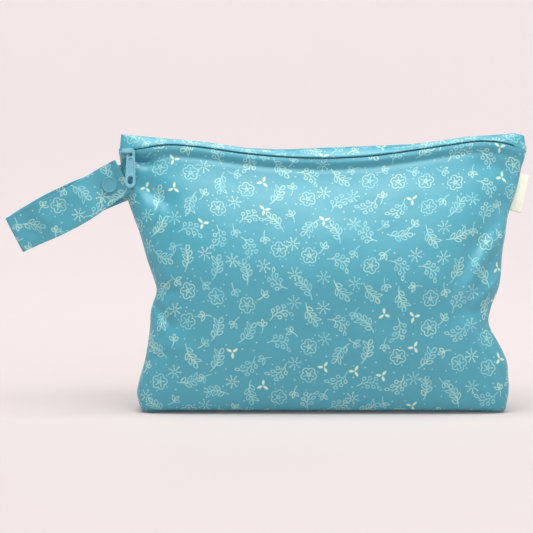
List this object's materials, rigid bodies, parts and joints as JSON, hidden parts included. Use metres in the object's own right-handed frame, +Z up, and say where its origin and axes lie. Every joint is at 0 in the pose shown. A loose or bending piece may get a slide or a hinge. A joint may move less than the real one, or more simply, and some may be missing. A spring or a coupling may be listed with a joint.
{
  "type": "cloth diaper wet bag",
  "caption": "Printed laminated-cloth zip pouch standing on a boxed base, with a doubled snap strap in one side seam and a folded label in the other.",
  "frame": {"origin": "middle of the flat base, on the floor that the bag stands on", "axes": "+X to the right along the bag's width seen from its zip side, +Y to the back, +Z up"},
  "size_m": [0.3998, 0.0741, 0.212],
  "materials": {
    "printed_cloth": "smooth laminated polyester knit with a fine line print",
    "zip_tape": "woven zip tape",
    "zip_plastic": "enamelled slider, pull and coil in pale blue",
    "snap_plastic": "matte moulded resin",
    "label_cotton": "plain cream cotton tape"
  },
  "bodies": {
    "bag": {"front_panel": "printed_cloth", "back_panel": "printed_cloth", "strap": "printed_cloth", "zip_tape_lower": "zip_tape", "zip_tape_upper": "zip_tape", "zip_chain": "zip_plastic", "zip_slider": "zip_plastic", "snap_cap_front": "snap_plastic", "snap_socket": "snap_plastic", "snap_stud": "snap_plastic", "snap_cap_back": "snap_plastic", "side_label": "label_cotton"},
    "pull": {"zip_pull": "zip_plastic"}
  },
  "joints": [
    {"name": "pull_swing", "type": "hinge", "parent": "bag", "child": "pull", "pos_m": [-0.1457, -0.00559, 0.19704], "axis": [0, -0.9613, 0.2756], "range_deg": [-8, 60]}
  ]
}
